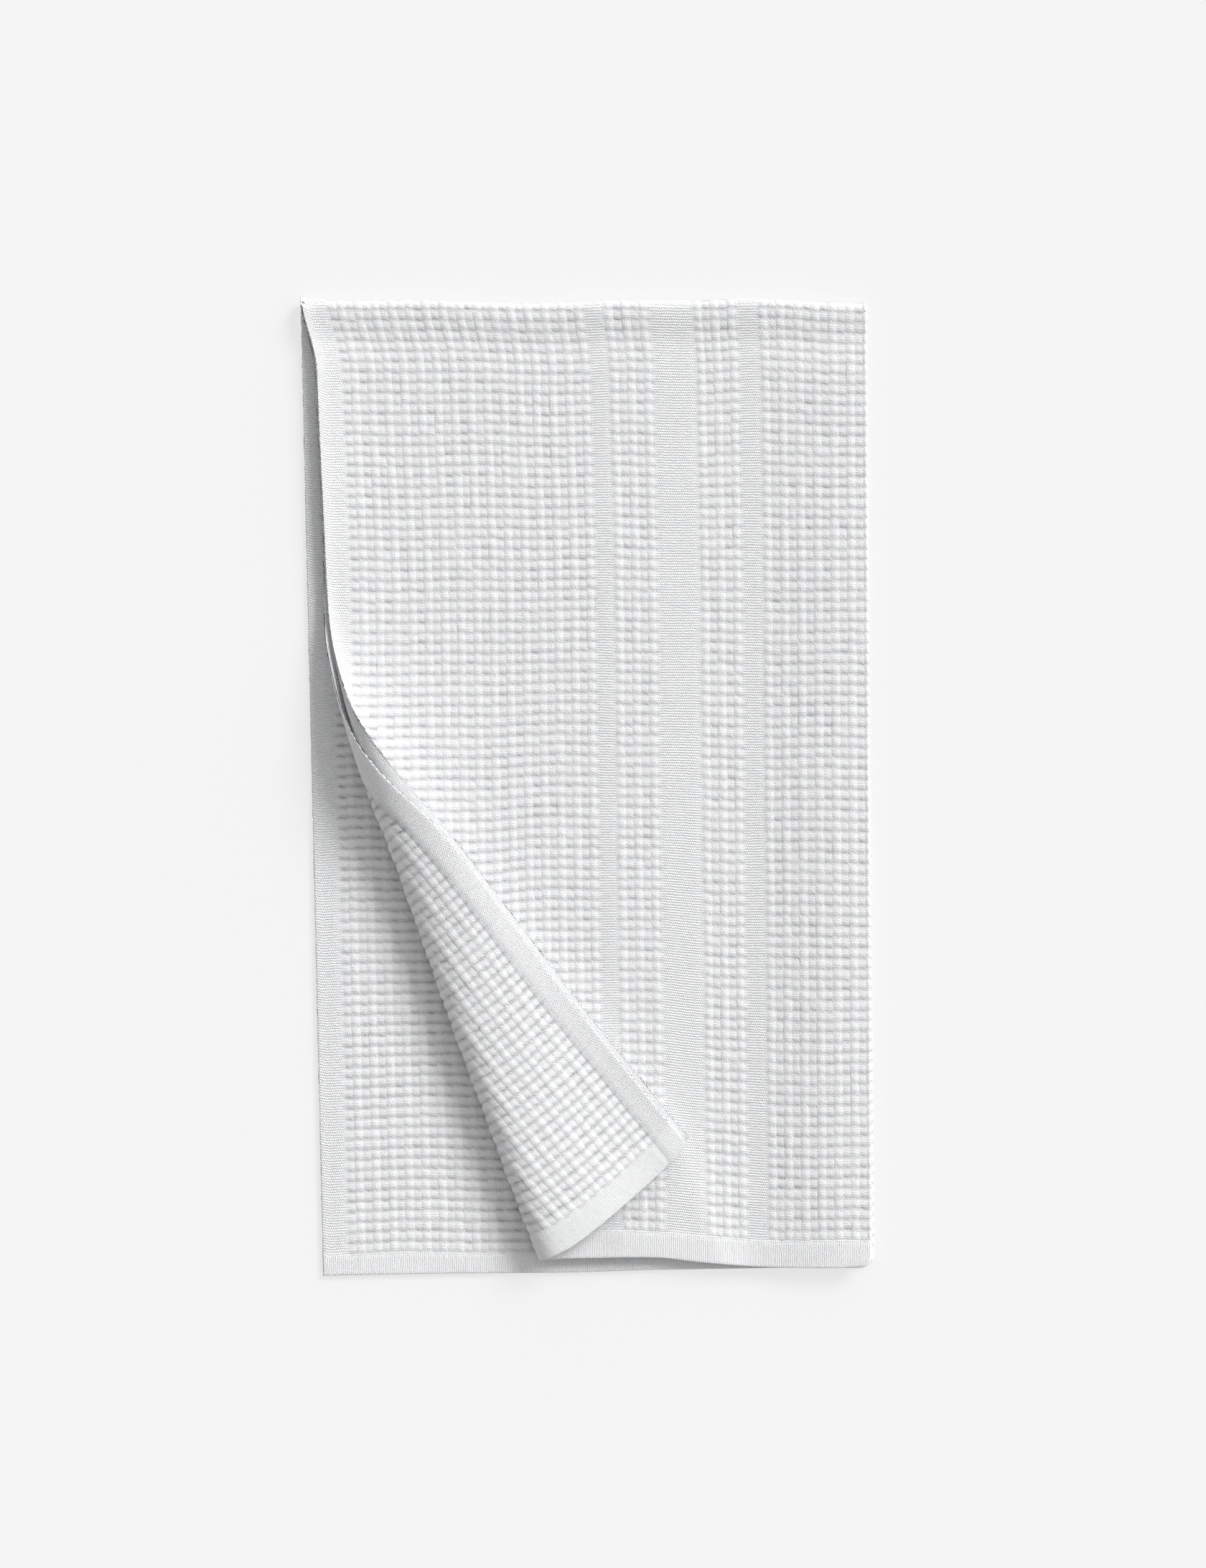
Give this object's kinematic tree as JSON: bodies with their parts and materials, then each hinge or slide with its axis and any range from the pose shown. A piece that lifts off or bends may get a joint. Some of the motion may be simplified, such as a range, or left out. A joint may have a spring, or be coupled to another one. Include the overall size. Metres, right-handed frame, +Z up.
{
  "type": "bath sheet",
  "caption": "Waffle-weave cotton bath sheet, folded flat into an oblong with the open corner of its front layers turned over, for drying after a bath.",
  "frame": {"origin": "middle of the folded sheet's footprint, on the surface that it rests on", "axes": "+Z up from the surface, +Y along the folded sheet from its hems to its closed top fold, +X across it from the open side edges to the closed side fold"},
  "size_m": [0.5166, 0.8807, 0.0648],
  "materials": {
    "waffle_cotton": "matte undyed-white cotton in a waffle weave, with plain woven stripes and hems"
  },
  "bodies": {
    "root": {"cloth_sheet": "waffle_cotton"}
  },
  "joints": []
}
